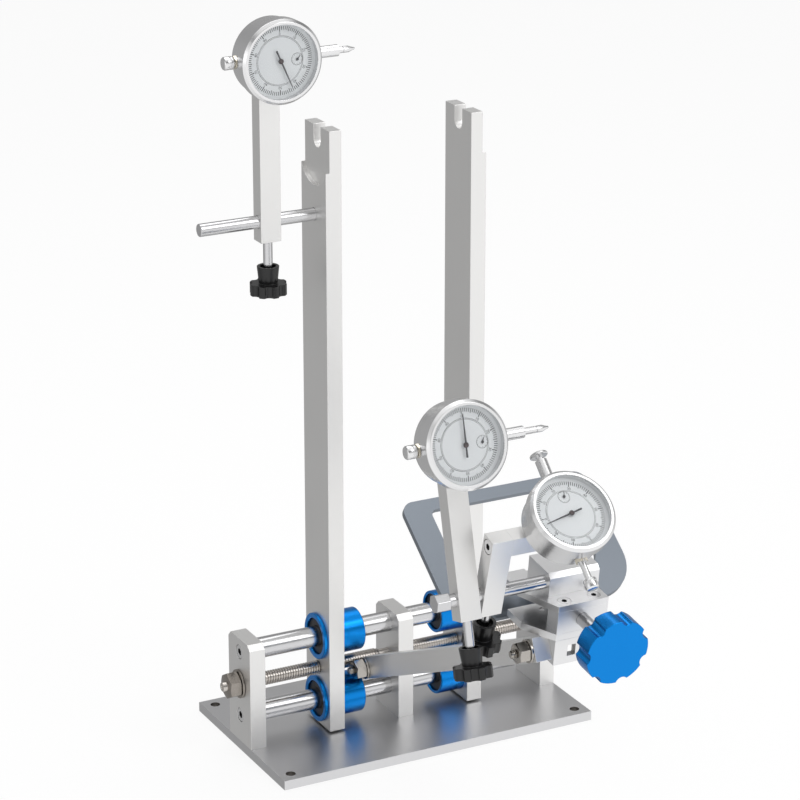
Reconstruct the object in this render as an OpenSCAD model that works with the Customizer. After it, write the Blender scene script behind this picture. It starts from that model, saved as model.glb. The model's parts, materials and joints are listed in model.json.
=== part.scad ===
// Bicycle wheel truing stand with three dial gauges.
// X runs along the guide rods, -Y is the front with the gauge carriage, +Z is up.
// The origin is the centre of the underside of the base plate.

/* [Base] */
// Length of the base plate along the guide rods
base_l = 248; // [220:1:300]
// Depth of the base plate
base_w = 146; // [120:1:190]
// Thickness of the base plate
base_t = 7; // [6:0.5:12]
// Diameter of the bench screw holes in the corners
base_hole_d = 7; // [5:0.5:9]
// Distance of the bench screw holes from the two nearest edges
base_hole_inset = 9; // [7:0.5:14]

/* [Rod blocks] */
// Thickness of the three rod blocks
block_t = 12; // [11:0.5:16]
// Depth of the three rod blocks
block_w = 36; // [34:1:44]
// Height of the three rod blocks
block_h = 80; // [76:1:90]
// Chamfer on the top corners of the rod blocks
block_chamfer = 4; // [1:0.5:6]

/* [Guide rods and lead screw] */
// Diameter of the two guide rods
rod_d = 15; // [12:0.5:17]
// Height of the lead screw above the table
screw_z = 52; // [51:0.5:56]
// Distance from the lead screw to each guide rod
rod_offset = 24.5; // [23:0.5:26]
// Diameter of the threaded lengths of the lead screw
screw_d = 10; // [8:0.5:11]
// Diameter of the plain journals of the lead screw
journal_d = 7; // [5:0.5:7.5]
// Width across the flats of the drive nut
drive_nut_af = 17; // [13:0.5:19]
// Thickness of the drive nut
drive_nut_t = 9; // [6:0.5:14]

/* [Uprights] */
// Clear gap between the uprights, the length of the hub that they take
hub_gap = 100; // [92:1:110]
// Thickness of each upright
upright_t = 12; // [11:0.5:14]
// Depth of each upright
upright_w = 38; // [38:1:44]
// Height of the tops of the uprights above the table
upright_top = 453; // [440:1:480]
// Gap between the base plate and the uprights
upright_lift = 1.3; // [0.5:0.1:4]
// Width of the open slot that takes the axle
axle_slot_w = 10.5; // [9.5:0.5:12.5]
// Depth of the axle slot below the top of the upright, to the axle centre
axle_drop = 10; // [8:0.5:16]
// Radius of the milled pocket round the axle
pocket_r = 21; // [20.5:0.5:24]
// Depth of the milled pocket
pocket_depth = 3; // [1.5:0.5:4]
// Distance of the pocket centre below the top of the upright
pocket_drop = 20; // [16:1:26]

/* [Bearing housings] */
// Outer diameter of the housing tube
housing_d = 31; // [30:0.5:32]
// Diameter of the housing flange
flange_d = 34; // [33:0.5:36]
// Thickness of the housing flange
flange_t = 2.5; // [2:0.5:4]
// Length of the housing tube inside the upright
housing_reach = 19; // [14:0.5:19]
// Outer diameter of the plain bushing inside the housing
bushing_d = 26.5; // [22:0.5:27]
// Depth of the bushing below the ends of the housing
bushing_recess = 2; // [1:0.5:4]

/* [Gauge shafts] */
// Diameter of the rotor gauge shaft and of the gauge shaft
shaft_d = 9; // [8:0.5:9]
// Length of the rotor gauge shaft outside the upright
rotor_shaft_l = 86; // [76:1:96]
// Height of the rotor gauge shaft above the table
rotor_shaft_z = 391; // [375:1:400]
// Length of the gauge shaft from its hexagon to the slider
gauge_shaft_l = 81; // [81:1:90]
// Width across the flats of the hexagon on the gauge shaft
shaft_hex_af = 11; // [9:0.5:13]
// Length of the hexagon on the gauge shaft
shaft_hex_l = 10; // [6:0.5:11]

/* [Gauge arms] */
// Width of the gauge arms along the shafts
arm_w = 15; // [14:0.5:16]
// Depth of the gauge arms
arm_t = 12; // [12:0.5:13]
// Length of a gauge arm below its shaft
arm_foot = 14; // [13:0.5:17]
// Distance of the rotor arm's middle from the upright
rotor_arm_x = 35; // [34:1:50]
// Height of the rotor dial's centre above its shaft
rotor_dial_rise = 116; // [100:1:125]
// Distance of the lateral arm's middle from the slider
lateral_arm_x = 58.5; // [57:0.5:60]
// Backward lean of the lateral arm in degrees
lateral_lean = 14; // [8:1:16]
// Distance from the gauge shaft to the lateral dial's centre, along the arm
lateral_dial_rise = 101; // [94:1:112]
// Distance of the radial arm's middle from the slider
radial_arm_x = 40.5; // [40:0.5:41.5]
// Forward lean of the radial arm in degrees
radial_lean = 15; // [10:1:18]
// Distance from the gauge shaft to the joint screw, along the radial arm
radial_reach = 38; // [37:1:50]
// Height of the cross bar
cross_bar_h = 13; // [12:0.5:14]
// Tilt of the radial dial above the horizontal, in degrees
radial_tilt = 43; // [38:1:48]
// Distance of the radial dial's middle from the middle of the stand, to the left
radial_dial_x = 16.5; // [16:0.5:18]

/* [Clamp knobs] */
// Diameter of the clamp screws
clamp_screw_d = 6.5; // [5:0.5:7]
// Bare length of the upper and the lateral clamp screw
clamp_screw_l = 18; // [14:1:24]
// Bare length of the radial clamp screw
radial_screw_l = 9; // [7:1:10]
// Diameter of the open end of the knob's neck
knob_neck_d = 15.5; // [13:0.5:17]
// Length of the knob's neck
knob_neck_l = 12; // [8:0.5:14]
// Diameter of the knob's head
knob_d = 26; // [22:0.5:28]
// Thickness of the knob's head
knob_t = 8; // [6:0.5:10]

/* [Swing arm] */
// Distance of the swing arm's pivot in front of the guide rods
pivot_front = 13.5; // [13.5:0.5:14.5]
// Height of the swing arm's pivot above the table
pivot_z = 50; // [48:0.5:50.5]
// Length of the swing arm between its two bolts
swing_l = 258; // [245:1:270]
// Rise of the swing arm in degrees
swing_rise = 24.5; // [23:0.5:26.5]
// Height of the swing arm's bar
swing_h = 16; // [15:0.5:17]
// Thickness of the swing arm's bar
swing_t = 12; // [10:0.5:14]
// Length of the hub between the swing arm and the middle block
swing_hub_l = 12.7; // [11:0.1:14]
// Diameter of the two bolts of the swing arm
pivot_bolt_d = 6; // [5:0.5:7]

/* [Gauge carriage] */
// Width of the carriage block and of the slider
carriage_w = 37; // [36:1:40]
// Downward tilt of the carriage to the front, in degrees
carriage_pitch = 8; // [5:1:10]
// Depth of the carriage block
carriage_block_d = 13; // [11:0.5:13]
// Height of the carriage block
carriage_block_h = 16; // [15:0.5:20]
// Thickness of the top plate
top_plate_t = 4.5; // [4:0.5:6]
// Thickness of the bottom plate
bottom_plate_t = 5; // [4:0.5:6]
// Depth of the top plate
top_plate_d = 52; // [50:1:58]
// Depth of the bottom plate
bottom_plate_d = 40; // [36:1:44]
// Width of the flare on the left of the plates
plate_flare = 14; // [8:1:16]
// Depth of the slider
slider_d = 28; // [26:1:30]
// Height of the slider
slider_h = 16; // [15:0.5:18]

/* [Adjuster] */
// Diameter of the adjuster's plain shank
adjuster_d = 9; // [8:0.5:10]
// Diameter of the adjuster's thread
adjuster_thread_d = 8; // [6:0.5:8]
// Bare length of the shank in front of the carriage block
adjuster_l = 30; // [24:1:40]
// Diameter of the adjuster knob
adjuster_knob_d = 45; // [38:1:50]
// Thickness of the adjuster knob
adjuster_knob_t = 15; // [10:1:18]

/* [Hoop plate] */
// Outer width of the hoop
hoop_w = 140; // [130:1:150]
// Length of the hoop along its slope
hoop_l = 98; // [90:1:108]
// Thickness of the hoop plate
hoop_t = 4; // [3:0.5:4.5]
// Width of the hoop's two limbs
hoop_limb = 19; // [14:1:24]
// Width of the hoop's upper bar
hoop_bar = 9; // [7:1:16]
// Slope of the hoop above the carriage plates, in degrees
hoop_slope = 28; // [24:1:32]

/* [Dial gauges] */
// How far the bezel stands out past the case
bezel_over = 2; // [1.5:0.25:3]
// Height of the bezel
bezel_h = 8; // [7:0.5:9]
// Diameter of the case
case_d = 54; // [50:0.5:55]
// Depth of the case behind the bezel
case_depth = 15; // [15:0.5:17]
// Diameter of the stem
stem_d = 8; // [7:0.5:9]
// Length of the stem of the rotor and lateral dials outside the case
stem_l = 20; // [17:0.5:22]
// Length of the stem of the radial dial outside the case
short_stem_l = 17; // [14:0.5:17.5]
// Diameter of the plunger
plunger_d = 4.5; // [4:0.5:5]
// Distance from the rotor dial's centre to the pointed tip of its plunger
rotor_reach = 60; // [58:1:66]
// Distance from the lateral dial's centre to the pointed tip of its plunger
lateral_reach = 66; // [62:1:70]
// Distance from the radial dial's centre to its flat contact
contact_reach = 49; // [48:1:54]
// Diameter of the radial dial's flat contact
contact_d = 12; // [10:0.5:14]

/* [Hidden] */
$fn = 48;

cut = 1;                 // how far cutting tools run past a face
run_gap = 0.05;          // radial running clearance of turning and sliding fits
side_gap = 0.3;          // clearance between parts that move past each other

plain_alu = [0.80, 0.81, 0.81];
blue_alu = [0.07, 0.45, 0.86];
chrome = [0.78, 0.78, 0.80];
steel = [0.60, 0.59, 0.58];
black = [0.07, 0.07, 0.08];
hoop_grey = [0.55, 0.58, 0.62];

// Base, blocks and their screws
rod_z = [screw_z - rod_offset, screw_z + rod_offset];
block_x = base_l / 2 - block_t / 2;
block_screw_y = block_w / 2 - 6;
frame_screw_d = 6;
frame_screw_head_d = 10;
frame_screw_head_h = 5.5;
frame_screw_l = 24;
head_sink = 0.3;         // how far a screw's head lies below the face round it
head_room = 0.3;         // gap round a sunk head

// Lead screw and bolts
thread_end = 8;          // plain length beside the middle block
screw_stub = 14;         // length outside the left block
washer_t = 1.6;
nut_af = 13;
nut_t = 8;
nut_stub = 4;

// Uprights
upright_x = (hub_gap + upright_t) / 2;
upright_z0 = base_t + upright_lift;
axle_z = upright_top - axle_drop;
shaft_seat = 8;          // how far the rotor gauge shaft reaches into the upright

// Swing arm
pivot = [0, -pivot_front, pivot_z];
swing_end = [0, pivot[1] - swing_l * cos(swing_rise), pivot[2] + swing_l * sin(swing_rise)];
swing_x1 = -block_t / 2 - swing_hub_l;
swing_x0 = swing_x1 - swing_t;

// The carriage frame: origin on the front top edge of the top plate, tilted with the carriage.
function tilt_yz(p, a) = [0, p[1] * cos(a) - p[2] * sin(a), p[1] * sin(a) + p[2] * cos(a)];
carriage_ahead = 17.5;   // from the arm's end to the top plate's front edge
carriage_above = 35;
carriage_origin = swing_end + [0, -carriage_ahead, carriage_above];
end_local = tilt_yz(swing_end - carriage_origin, -carriage_pitch);
bottom_z = -top_plate_t - carriage_block_h - bottom_plate_t;
bracket_wall = 6;
bracket_front_t = 5;
bracket_drop = 18.5;     // how far the bracket hangs below the bottom plate
window_w = 6;            // opening in the front of the bracket
window_h = 8;
window_x = -6;
window_drop = 5;
plate_screw_x = 11;
plate_screw_y = 6.5;
plate_screw_d = 4;
plate_screw_head_d = 9;
plate_screw_head_h = 2.4;
plate_screw_l = 12;
hoop_y0 = bracket_front_t + 11;
hoop_screw_y = 32;
hoop_screw_head_d = 7;
hoop_screw_head_h = 2.5;
hoop_foot_x = 16;
hoop_foot_y = hoop_y0 + 8;
hoop_bend_y = bottom_plate_d + 2;
hoop_low_r = 30;         // corner radii of the hoop, low and high, outside and inside
hoop_high_r = 9;
window_low_r = 20;
window_high_r = 5;

// Slider and adjuster
slider_y0 = carriage_block_d + 1;
slider_left = -carriage_w / 2;
slider_travel = 4;        // how far the slider moves back before the radial knob nears the hoop
slider_chamfer = 3;
tongue_w = 12;
tongue_d = 12;
tongue_y0 = slider_y0 + 8;
lock_screw_d = 4;
lock_x = -13;
lock_y = slider_y0 + slider_d - 5;
adjuster_z = -top_plate_t - carriage_block_h / 2;
adjuster_collar_t = 2;
adjuster_hub_d = 18;
adjuster_hub_l = 4;
lock_neck_d = 9;
lock_neck_l = 8;
lock_head_d = 15;
lock_head_t = 5;

// Gauge shaft, seen in the carriage frame and in the world
shaft_y = slider_y0 + 6.5;
shaft_z = 8;
shaft_inset = 14;        // how far past the middle of the slider the shaft reaches
shaft_c = carriage_origin + tilt_yz([0, shaft_y, shaft_z], carriage_pitch);

// Dials: depths are measured from the plunger's axis towards the face
skirt_l = 3;             // how far the bezel reaches back over the case
case_front = stem_d / 2 + side_gap + skirt_l;
case_back = case_front - case_depth;
case_wall = 3;
face_y = case_front + 1.6;
face_t = 0.8;
plate_r = 16.7;          // radius of the fixed middle of the face
ring_gap = 0.3;          // between the fixed middle and the graduated ring
bezel_wall = 1.2;
bezel_d = case_d + 2 * bezel_over;
bezel_front = case_front + bezel_h;
lip_w = 0.4;
lip_t = 0.8;
crystal_t = 1.5;
crystal_y = bezel_front - crystal_t - 0.8;
counter_x = 12.5;
counter_y = face_y + face_t + 0.5;
counter_pin_d = 1.2;
pointer_l = 20;
pointer_y = counter_y + 1.1;
pin_d = 1.5;
stud_d = 6;
lug_w = 6;
lug_gap = 0.4;
lug_stud_d = 5;
lug_r = 7;
lug_y = -case_back + lug_gap + lug_r + 2;
collar_d = 6.5;
collar_l = 3;
cap_d = 9;
cap_l = 7;
cap_gap = 0.3;
tip_l = 5;
pressed = 12;            // how far the radial dial's plunger stands pressed in

// Gauge arms
dial_stand = arm_t / 2 - case_back;
arm_over = 9;            // how far an arm reaches past its dial's centre
knob_taper = 2.5;        // how much narrower the neck is at the head
knob_cup_wall = 2.25;
knob_cup_h = 4;
rotor_arm_mid = -(upright_x + upright_t / 2 + rotor_arm_x);
lateral_mid = slider_left - lateral_arm_x;
radial_mid = slider_left - radial_arm_x;
joint_c = shaft_c + tilt_yz([0, 0, radial_reach], radial_lean);
joint_screw_d = 5;
joint_head_d = 9.6;
joint_head_h = 3;
joint_screw_l = 26;
bar_x0 = radial_mid + arm_w / 2;
bar_x1 = -radial_dial_x - lug_w / 2;

module on_carriage() {
    translate(carriage_origin) rotate([carriage_pitch, 0, 0]) children();
}

module on_rotor_dial() {
    translate([rotor_arm_mid, -dial_stand, rotor_shaft_z + rotor_dial_rise]) children();
}

module on_lateral_arm() {
    translate(shaft_c + [lateral_mid, 0, 0]) rotate([-lateral_lean, 0, 0]) children();
}

module on_lateral_dial() {
    on_lateral_arm() translate([0, -dial_stand, lateral_dial_rise]) children();
}

module on_radial_arm() {
    translate(shaft_c + [radial_mid, 0, 0]) rotate([radial_lean, 0, 0]) children();
}

// The radial dial's plunger points up and back, and its face up and to the front.
module on_radial_dial() {
    translate(joint_c - [radial_dial_x, 0, 0]) rotate([radial_tilt, 0, 0])
        rotate([-90, 0, 90]) translate([0, -lug_y, 0]) children();
}

// A cylinder along +X from x0 to x1.
module x_rod(x0, x1, d, sides = 48) {
    translate([x0, 0, 0]) rotate([0, 90, 0]) cylinder(d = d, h = x1 - x0, $fn = sides);
}

// A cylinder along +Y from y0 to y1.
module y_rod(y0, y1, d, sides = 48) {
    translate([0, y0, 0]) rotate([-90, 0, 0]) cylinder(d = d, h = y1 - y0, $fn = sides);
}

module box(lo, hi) {
    translate(lo) cube(hi - lo);
}

// ---- Base ----

module base_plate() {
    color(plain_alu) difference() {
        box([-base_l / 2, -base_w / 2, 0], [base_l / 2, base_w / 2, base_t]);
        for (sx = [-1, 1], sy = [-1, 1])
            translate([sx * (base_l / 2 - base_hole_inset), sy * (base_w / 2 - base_hole_inset), -cut])
                cylinder(d = base_hole_d, h = base_t + 2 * cut);
        for (x = [-block_x, 0, block_x], sy = [-1, 1])
            translate([x, sy * block_screw_y, 0]) base_screw_hole();
    }
}

module base_screw_hole() {
    translate([0, 0, -cut]) cylinder(d = frame_screw_d, h = base_t + 2 * cut);
    translate([0, 0, -cut])
        cylinder(d = frame_screw_head_d + 2 * head_room, h = frame_screw_head_h + cut);
}

// A socket head screw with its head's outer face at the origin, running up +Z.
module socket_screw(head_h, length, d, head_d) {
    difference() {
        union() {
            cylinder(d = head_d, h = head_h);
            cylinder(d = d, h = length);
        }
        translate([0, 0, -cut]) cylinder(d = 0.9 * d, h = 0.6 * head_h + cut, $fn = 6);
    }
}

module frame_screw() {
    translate([0, 0, head_sink])
        socket_screw(frame_screw_head_h - head_sink, frame_screw_l, frame_screw_d, frame_screw_head_d);
}

// The screws that hold the blocks to the base plate, and those in the ends of the rods.
module frame_screws() {
    color(steel) {
        for (x = [-block_x, 0, block_x], sy = [-1, 1])
            translate([x, sy * block_screw_y, 0]) frame_screw();
        for (z = rod_z, end = [-1, 1])
            translate([end * base_l / 2, 0, z]) rotate([0, -end * 90, 0]) frame_screw();
    }
}

// A block with chamfered top corners, centred on the origin in X.
module rod_block() {
    w = block_w / 2;
    top = base_t + block_h;
    c = block_chamfer;
    translate([block_t / 2, 0, 0]) rotate([0, -90, 0]) linear_extrude(block_t)
        polygon([[base_t, -w], [top - c, -w], [top, c - w], [top, w - c], [top - c, w], [base_t, w]]);
}

module block_screw_bores() {
    for (sy = [-1, 1])
        translate([0, sy * block_screw_y, base_t - cut])
            cylinder(d = frame_screw_d, h = frame_screw_l - base_t + head_sink + 2 * cut);
}

// An end block: side is -1 on the left and 1 on the right.
module end_block(side) {
    color(plain_alu) translate([side * block_x, 0, 0]) difference() {
        rod_block();
        block_screw_bores();
        for (z = rod_z) translate([0, 0, z]) {
            x_rod(-block_t / 2 - cut, block_t / 2 + cut, frame_screw_head_d + 2 * head_room);
            mirror([side < 0 ? 1 : 0, 0, 0])
                x_rod(-block_t / 2 - cut, block_t / 2 - frame_screw_head_h, rod_d);
        }
        translate([0, 0, screw_z]) x_rod(-block_t, block_t, journal_d + 2 * run_gap);
    }
}

module left_block() { end_block(-1); }

module right_block() { end_block(1); }

module middle_block() {
    color(plain_alu) difference() {
        rod_block();
        block_screw_bores();
        for (z = rod_z) translate([0, 0, z]) x_rod(-block_t, block_t, rod_d);
        translate([0, 0, screw_z]) x_rod(-block_t, block_t, journal_d + 2 * run_gap);
        translate(pivot) x_rod(-block_t, block_t, pivot_bolt_d);
    }
}

module guide_rods() {
    reach = base_l / 2 - frame_screw_head_h;
    color(chrome) for (z = rod_z) translate([0, 0, z]) difference() {
        x_rod(-reach, reach, rod_d);
        for (side = [0, 1]) mirror([side, 0, 0])
            x_rod(reach - frame_screw_l, reach + cut, frame_screw_d);
    }
}

// ---- Lead screw ----

module lead_screw() {
    color(steel) translate([0, 0, screw_z]) {
        x_rod(-base_l / 2 - screw_stub, base_l / 2 - 2, journal_d);
        for (side = [0, 1]) mirror([side, 0, 0])
            x_rod(block_t / 2 + thread_end, base_l / 2 - block_t - 0.5, screw_d);
    }
}

module hex_nut(x0, t, af, bore) {
    difference() {
        x_rod(x0, x0 + t, af / cos(30), 6);
        x_rod(x0 - cut, x0 + t + cut, bore);
    }
}

// The hexagon that a spanner or a crank turns, with its washer against the left block.
module drive_nut() {
    x1 = -base_l / 2 - 0.2;
    x0 = x1 - washer_t - drive_nut_t;
    color(steel) translate([0, 0, screw_z]) difference() {
        union() {
            x_rod(x1 - washer_t, x1, drive_nut_af + 4);
            x_rod(x0, x1 - washer_t / 2, drive_nut_af / cos(30), 6);
        }
        x_rod(x0 - cut, x1 + cut, journal_d);
    }
}

// ---- Uprights ----

// An upright with its inner face towards +X, drawn for the left side.
module upright() {
    x0 = -upright_x - upright_t / 2;
    x1 = x0 + upright_t;
    w = upright_w / 2;
    difference() {
        box([x0, -w, upright_z0], [x1, w, upright_top]);
        translate([0, 0, upright_top - pocket_drop]) {
            x_rod(x0 - cut, x0 + pocket_depth, 2 * pocket_r, 96);
            box([x0 - cut, -pocket_r, 0], [x0 + pocket_depth, pocket_r, pocket_drop + cut]);
        }
        translate([0, 0, axle_z]) {
            x_rod(x0 - cut, x1 + cut, axle_slot_w);
            box([x0 - cut, -axle_slot_w / 2, 0], [x1 + cut, axle_slot_w / 2, axle_drop + cut]);
        }
        for (z = rod_z) translate([0, 0, z]) x_rod(x0 - cut, x1 + cut, housing_d);
        translate([0, 0, screw_z]) x_rod(x0 - cut, x1 + cut, screw_d + 2 * run_gap);
    }
}

module left_upright() {
    color(plain_alu) difference() {
        upright();
        translate([-upright_x - upright_t / 2, 0, rotor_shaft_z])
            x_rod(-cut, shaft_seat, shaft_d);
    }
}

module right_upright() {
    color(plain_alu) mirror([1, 0, 0]) upright();
}

// The two housings of one upright, drawn for the left side.
module housings() {
    x0 = -upright_x - upright_t / 2;
    color(blue_alu) for (z = rod_z) translate([0, 0, z]) difference() {
        union() {
            x_rod(x0 - flange_t, x0, flange_d, 72);
            x_rod(x0, x0 + upright_t + housing_reach, housing_d, 72);
        }
        x_rod(x0 - flange_t - cut, x0 + upright_t + housing_reach + cut, bushing_d);
    }
}

module left_housings() { housings(); }

module right_housings() { mirror([1, 0, 0]) housings(); }

module bushings() {
    x0 = -upright_x - upright_t / 2 - flange_t + bushing_recess;
    x1 = -upright_x + upright_t / 2 + housing_reach - bushing_recess;
    color(black) for (z = rod_z) translate([0, 0, z]) difference() {
        x_rod(x0, x1, bushing_d);
        x_rod(x0 - cut, x1 + cut, rod_d + 2 * run_gap);
    }
}

module left_bushings() { bushings(); }

module right_bushings() { mirror([1, 0, 0]) bushings(); }

// ---- Gauge arms and their clamps ----

module rotor_shaft() {
    x1 = -upright_x - upright_t / 2;
    color(chrome) translate([x1 - rotor_shaft_l, 0, rotor_shaft_z]) {
        x_rod(0, rotor_shaft_l + shaft_seat, shaft_d);
    }
}

// A gauge arm: the shaft at the origin, the arm along +Z, a clamp screw from below.
module gauge_arm(rise) {
    difference() {
        box([-arm_w / 2, -arm_t / 2, -arm_foot], [arm_w / 2, arm_t / 2, rise]);
        x_rod(-arm_w, arm_w, shaft_d + 2 * run_gap);
        translate([0, 0, -arm_foot - cut])
            cylinder(d = clamp_screw_d + 2 * run_gap, h = arm_foot + cut);
    }
}

// The clamp screw's tip stays just clear of the shaft.
module clamp_screw(bare) {
    tip = shaft_d / 2 + side_gap;
    color(chrome) translate([0, 0, -arm_foot - bare - knob_neck_l])
        cylinder(d = clamp_screw_d, h = arm_foot + bare + knob_neck_l - tip);
}

// A round head with hollows in its rim.
module notched_head(d, h, notches, notch_d, depth) {
    linear_extrude(h) difference() {
        circle(d = d, $fn = 96);
        for (i = [0:notches - 1]) rotate((i + 0.5) * 360 / notches)
            translate([(d + notch_d) / 2 - depth, 0]) circle(d = notch_d);
    }
}

module clamp_knob(bare) {
    color(black) translate([0, 0, -arm_foot - bare]) difference() {
        union() {
            translate([0, 0, -knob_neck_l])
                cylinder(d1 = knob_neck_d - knob_taper, d2 = knob_neck_d, h = knob_neck_l);
            translate([0, 0, -knob_neck_l - knob_t]) notched_head(knob_d, knob_t, 8, 7, 2);
        }
        translate([0, 0, -knob_neck_l]) cylinder(d = clamp_screw_d, h = knob_neck_l + cut);
        translate([0, 0, -knob_cup_h])
            cylinder(d = knob_neck_d - 2 * knob_cup_wall, h = knob_cup_h + cut);
    }
}

// The stud on the back of a dial case passes through its arm.
module stud_bore(rise) {
    translate([0, 0, rise]) y_rod(-arm_t, arm_t, stud_d);
}

module on_rotor_arm() {
    translate([rotor_arm_mid, 0, rotor_shaft_z]) children();
}

module rotor_arm() {
    color(plain_alu) on_rotor_arm() difference() {
        gauge_arm(rotor_dial_rise + arm_over);
        stud_bore(rotor_dial_rise);
    }
}

module rotor_clamp_screw() { on_rotor_arm() clamp_screw(clamp_screw_l); }

module rotor_clamp_knob() { on_rotor_arm() clamp_knob(clamp_screw_l); }

module lateral_arm() {
    color(plain_alu) on_lateral_arm() difference() {
        gauge_arm(lateral_dial_rise + arm_over);
        stud_bore(lateral_dial_rise);
    }
}

module lateral_clamp_screw() { on_lateral_arm() clamp_screw(clamp_screw_l); }

module lateral_clamp_knob() { on_lateral_arm() clamp_knob(clamp_screw_l); }

module radial_arm() {
    color(plain_alu) on_radial_arm() difference() {
        gauge_arm(radial_reach + cross_bar_h / 2);
        translate([0, 0, radial_reach]) {
            x_rod(-arm_w, arm_w, joint_screw_d + 2 * run_gap);
            x_rod(-arm_w, -arm_w / 2 + joint_head_h, joint_head_d + 2 * head_room);
        }
    }
}

module radial_clamp_screw() { on_radial_arm() clamp_screw(radial_screw_l); }

module radial_clamp_knob() { on_radial_arm() clamp_knob(radial_screw_l); }

// The bar runs from the radial arm to the lug of the radial dial, and a stud on it holds the lug.
module radial_cross_bar() {
    color(plain_alu) translate(joint_c) rotate([radial_lean, 0, 0]) {
        difference() {
            box([bar_x0, -arm_t / 2, -cross_bar_h / 2], [bar_x1, arm_t / 2, cross_bar_h / 2]);
            x_rod(bar_x0 - cut, radial_mid - arm_w / 2 + joint_screw_l + 0.5, joint_screw_d);
        }
        x_rod(bar_x1, bar_x1 + lug_w, lug_stud_d);
        x_rod(bar_x1 + lug_w, bar_x1 + lug_w + 2, joint_head_d);
    }
}

// The joint screw lies along +X, with its head sunk in the left face of the radial arm.
module radial_joint_screw() {
    color(steel) translate(joint_c + [radial_mid - arm_w / 2 + head_sink, 0, 0]) rotate([0, 90, 0])
        socket_screw(joint_head_h - head_sink, joint_screw_l, joint_screw_d, joint_head_d);
}

// ---- Swing arm ----

module on_swing_arm() {
    translate(pivot) rotate([-swing_rise, 0, 0]) children();
}

// The arm lies along -Y in its own frame; its hub stands on the middle block.
module swing_arm() {
    bore = pivot_bolt_d + 2 * run_gap;
    color(plain_alu) on_swing_arm() difference() {
        union() {
            box([swing_x0, -swing_l - swing_h / 2, -swing_h / 2], [swing_x1, 0, swing_h / 2]);
            x_rod(swing_x0, swing_x1, swing_h);
            x_rod(swing_x1, -block_t / 2 - 0.2, swing_h - 1);
        }
        x_rod(swing_x0 - cut, 0, bore);
        translate([0, -swing_l, 0]) x_rod(swing_x0 - cut, swing_x1 + cut, pivot_bolt_d);
    }
}

// A bolt along X from x0 to x1, with a washer and a nut on its left and a head on its right.
module swing_bolt(x0, x1, gap) {
    x_rod(x0 - gap - washer_t - nut_t - nut_stub, x1, pivot_bolt_d);
    x_rod(x1, x1 + 4, nut_af, 6);
    difference() {
        x_rod(x0 - gap - washer_t, x0 - gap, nut_af + 3);
        x_rod(x0 - nut_t, x0 + cut, pivot_bolt_d);
    }
    hex_nut(x0 - gap - washer_t - nut_t, nut_t, nut_af, pivot_bolt_d);
}

module pivot_bolt() {
    color(steel) translate(pivot) swing_bolt(swing_x0, block_t / 2, 0.1);
}

module arm_end_bolt() {
    color(steel) translate(swing_end) swing_bolt(swing_x0, swing_x1 + bracket_wall, 0);
}

// ---- Gauge carriage ----

// The bracket hangs below the bottom plate and takes the bolt at the end of the swing arm.
module carriage_bracket() {
    low = bottom_z - bracket_drop;
    wall_x = swing_x1 + bracket_wall;
    window_top = bottom_z - window_drop;
    color(plain_alu) on_carriage() difference() {
        union() {
            box([swing_x1, 0, low], [carriage_w / 2, bracket_front_t, bottom_z]);
            box([swing_x1, 0, low], [wall_x, hoop_y0 + 6, bottom_z - hoop_t]);
            box([swing_x1, 0, bottom_z - hoop_t - cut], [wall_x, hoop_y0 - 0.5, bottom_z]);
        }
        box([window_x - window_w / 2, -cut, window_top - window_h],
            [window_x + window_w / 2, bracket_front_t + cut, window_top]);
        translate(end_local) x_rod(swing_x1 - cut, wall_x + cut, pivot_bolt_d);
    }
}

module carriage_block() {
    w = carriage_w / 2;
    color(plain_alu) on_carriage() difference() {
        box([-w, 0, -top_plate_t - carriage_block_h], [w, carriage_block_d, -top_plate_t]);
        translate([0, 0, adjuster_z]) y_rod(-cut, carriage_block_d + cut, adjuster_d + 2 * run_gap);
        for (sx = [-1, 1]) translate([sx * plate_screw_x, plate_screw_y, -plate_screw_l - 0.5])
            cylinder(d = plate_screw_d, h = plate_screw_l);
    }
}

// The outline of a plate, flared on its left towards the back.
module plate_outline(depth) {
    w = carriage_w / 2;
    flare_y = 0.55 * depth;
    polygon([[-w, 0], [w, 0], [w, depth], [-w - plate_flare, depth], [-w - plate_flare, flare_y]]);
}

module carriage_plates() {
    slot_x = tongue_w / 2 + side_gap;
    lock_half = lock_screw_d / 2 + side_gap;
    color(plain_alu) on_carriage() {
        difference() {
            translate([0, 0, -top_plate_t]) linear_extrude(top_plate_t) plate_outline(top_plate_d);
            box([-slot_x, tongue_y0 - 3, -top_plate_t - cut],
                [slot_x, tongue_y0 + tongue_d + slider_travel + 1, cut]);
            box([lock_x - lock_half, lock_y - lock_half - 3, -top_plate_t - cut],
                [lock_x + lock_half, top_plate_d + cut, cut]);
            for (sx = [-1, 1]) translate([sx * plate_screw_x, plate_screw_y, 0]) {
                translate([0, 0, -top_plate_t - cut]) cylinder(d = plate_screw_d, h = top_plate_t + 2 * cut);
                translate([0, 0, -plate_screw_head_h])
                    cylinder(d = plate_screw_head_d + 2 * run_gap, h = plate_screw_head_h + cut);
            }
        }
        difference() {
            translate([0, 0, bottom_z]) linear_extrude(bottom_plate_t) plate_outline(bottom_plate_d);
            for (sx = [-1, 1]) translate([sx * plate_screw_x, hoop_screw_y, bottom_z - cut])
                cylinder(d = plate_screw_d, h = bottom_plate_t + 2 * cut);
        }
    }
}

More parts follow.
